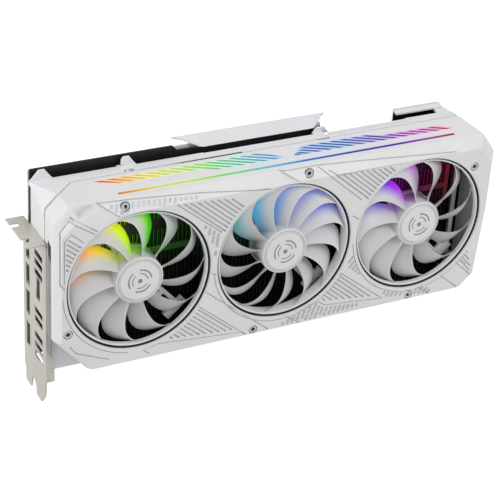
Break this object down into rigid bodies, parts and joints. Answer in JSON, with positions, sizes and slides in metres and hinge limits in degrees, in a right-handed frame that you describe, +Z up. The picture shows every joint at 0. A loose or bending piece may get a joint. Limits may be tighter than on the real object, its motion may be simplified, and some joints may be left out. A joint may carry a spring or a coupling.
{
  "type": "desktop graphics card",
  "caption": "Long dual-slot-bracket graphics card with a white bevelled shroud, ringed axial fans that spin, a light bar on top and a finned cooler on a black board.",
  "frame": {"origin": "centre of the bottom face of the edge connector's long finger block, on the circuit board's middle plane", "axes": "+X from the I/O bracket to the tail, -Y the way the fans face, +Y out of the back plate, +Z up, away from the edge connector"},
  "size_m": [0.3299, 0.0576, 0.1568],
  "materials": {
    "white_plastic": "satin white plastic",
    "white_metal": "satin white paint on aluminium",
    "fan_white": "satin white plastic",
    "steel": "nickel-plated steel",
    "dark_steel": "black zinc",
    "board": "black solder mask",
    "fin_black": "black-coated aluminium fins",
    "copper": "bare copper",
    "magnet": "bonded ferrite",
    "black_plastic": "black connector plastic",
    "lens": "frosted light diffuser",
    "package": "chip substrate"
  },
  "bodies": {
    "card": {"shroud": "white_plastic", "mid_frame": "white_metal", "pcb": "board", "bracket": "steel", "backplate": "white_metal", "retention_bracket": "dark_steel", "logo_bar": "white_metal", "bios_switch_housing": "black_plastic", "fin_stack_left": "fin_black", "fin_stack_right": "fin_black", "fin_end_bar": "white_metal", "cold_plate": "copper", "gpu_package": "package", "light_bar_lens": "lens", "light_strip_lens": "lens", "led_board": "board", "port_dp_1": "steel", "port_dp_2": "steel", "port_hdmi_1": "steel", "port_dp_3": "steel", "port_hdmi_2": "steel", "power_connector_1": "black_plastic", "power_connector_2": "black_plastic", "power_connector_3": "black_plastic", "heat_pipe_1": "copper", "shroud_screw_1": "dark_steel", "heat_pipe_2": "copper", "shroud_screw_2": "dark_steel", "heat_pipe_3": "copper", "shroud_screw_3": "dark_steel", "heat_pipe_4": "copper", "shroud_screw_4": "dark_steel", "heat_pipe_5": "copper", "shroud_screw_5": "dark_steel", "heat_pipe_6": "copper", "shroud_screw_6": "dark_steel", "fan_left_bearing": "copper", "fan_left_stator": "copper", "fan_left_base": "white_plastic", "fan_center_bearing": "copper", "fan_center_stator": "copper", "fan_center_base": "white_plastic", "fan_right_bearing": "copper", "fan_right_stator": "copper", "fan_right_base": "white_plastic"},
    "fan_left": {"fan_left_rotor": "fan_white", "fan_left_badge": "fan_white", "fan_left_magnet": "magnet", "fan_left_shaft": "steel"},
    "fan_center": {"fan_center_rotor": "fan_white", "fan_center_badge": "fan_white", "fan_center_magnet": "magnet", "fan_center_shaft": "steel"},
    "fan_right": {"fan_right_rotor": "fan_white", "fan_right_badge": "fan_white", "fan_right_magnet": "magnet", "fan_right_shaft": "steel"},
    "bios_slider": {"bios_switch_slider": "white_plastic"}
  },
  "joints": [
    {"name": "fan_left_spin", "type": "hinge", "parent": "card", "child": "fan_left", "pos_m": [-0.0376, -0.043, 0.0803], "axis": [0, -1, 0], "continuous": true},
    {"name": "fan_center_spin", "type": "hinge", "parent": "card", "child": "fan_center", "pos_m": [0.0646, -0.043, 0.0803], "axis": [0, -1, 0], "continuous": true},
    {"name": "fan_right_spin", "type": "hinge", "parent": "card", "child": "fan_right", "pos_m": [0.1667, -0.043, 0.0803], "axis": [0, -1, 0], "continuous": true},
    {"name": "bios_switch_slide", "type": "slide", "parent": "card", "child": "bios_slider", "axis": [1, 0, 0], "range_m": [0, 0.002]}
  ]
}
